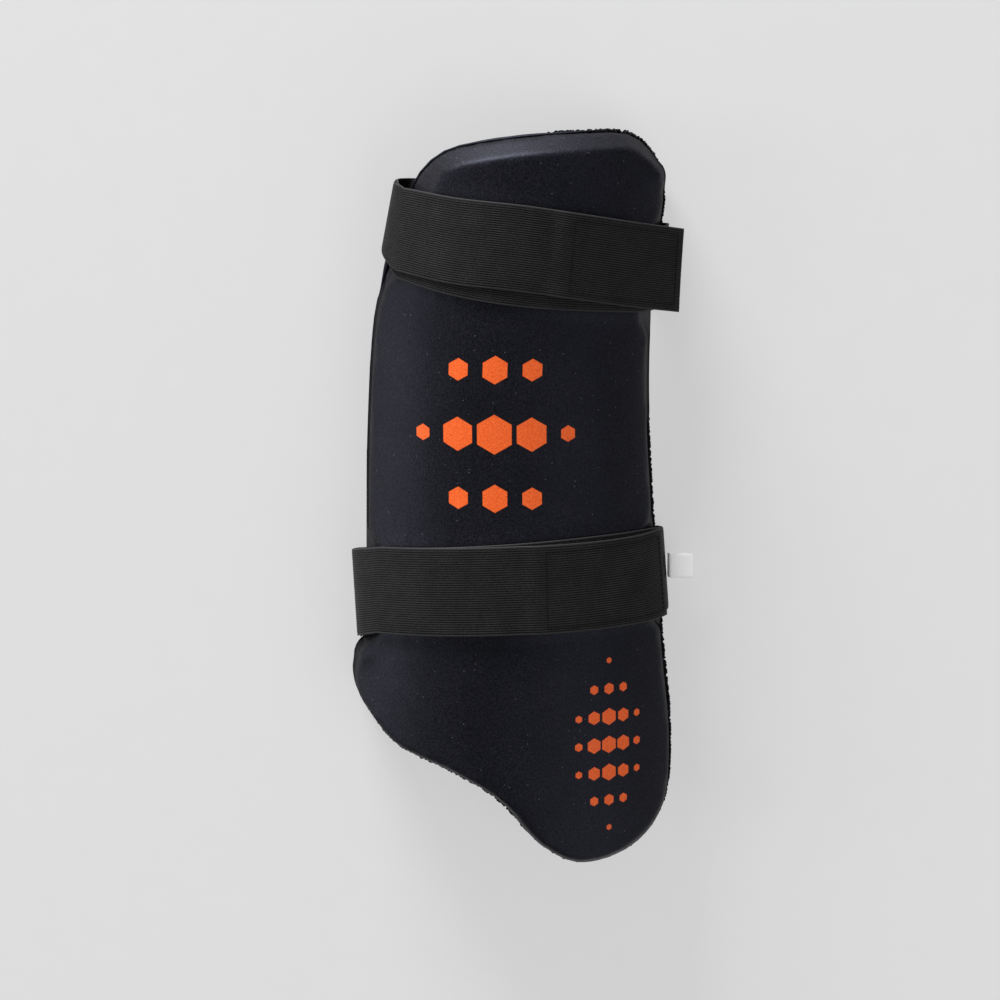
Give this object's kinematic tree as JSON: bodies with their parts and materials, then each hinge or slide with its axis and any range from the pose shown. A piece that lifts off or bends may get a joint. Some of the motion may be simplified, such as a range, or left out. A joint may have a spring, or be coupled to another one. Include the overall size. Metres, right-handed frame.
{
  "type": "cricket thigh pad",
  "caption": "Cricket thigh pad: curved moulded foam guard in a dark stretch cover with a tail and a terry back, held by ribbed elastic straps fastened round it with hook patches.",
  "frame": {"origin": "under the middle of the whole object's box, on the surface that it lies on", "axes": "+Z out of the pad's front, +Y along its length to the hip end, +X to the right of someone who faces the front"},
  "size_m": [0.1802, 0.3834, 0.065],
  "materials": {
    "cover": "dark navy stretch knit over moulded foam, matte",
    "terry": "black terry towelling",
    "elastic": "black ribbed elastic webbing",
    "hook_tape": "black nylon hook tape",
    "label": "white woven satin, blank"
  },
  "bodies": {
    "root": {"pad_body": "cover", "back_lining": "terry", "upper_strap": "elastic", "upper_hook_patch": "hook_tape", "lower_strap": "elastic", "lower_hook_patch": "hook_tape", "size_label": "label"}
  },
  "joints": []
}
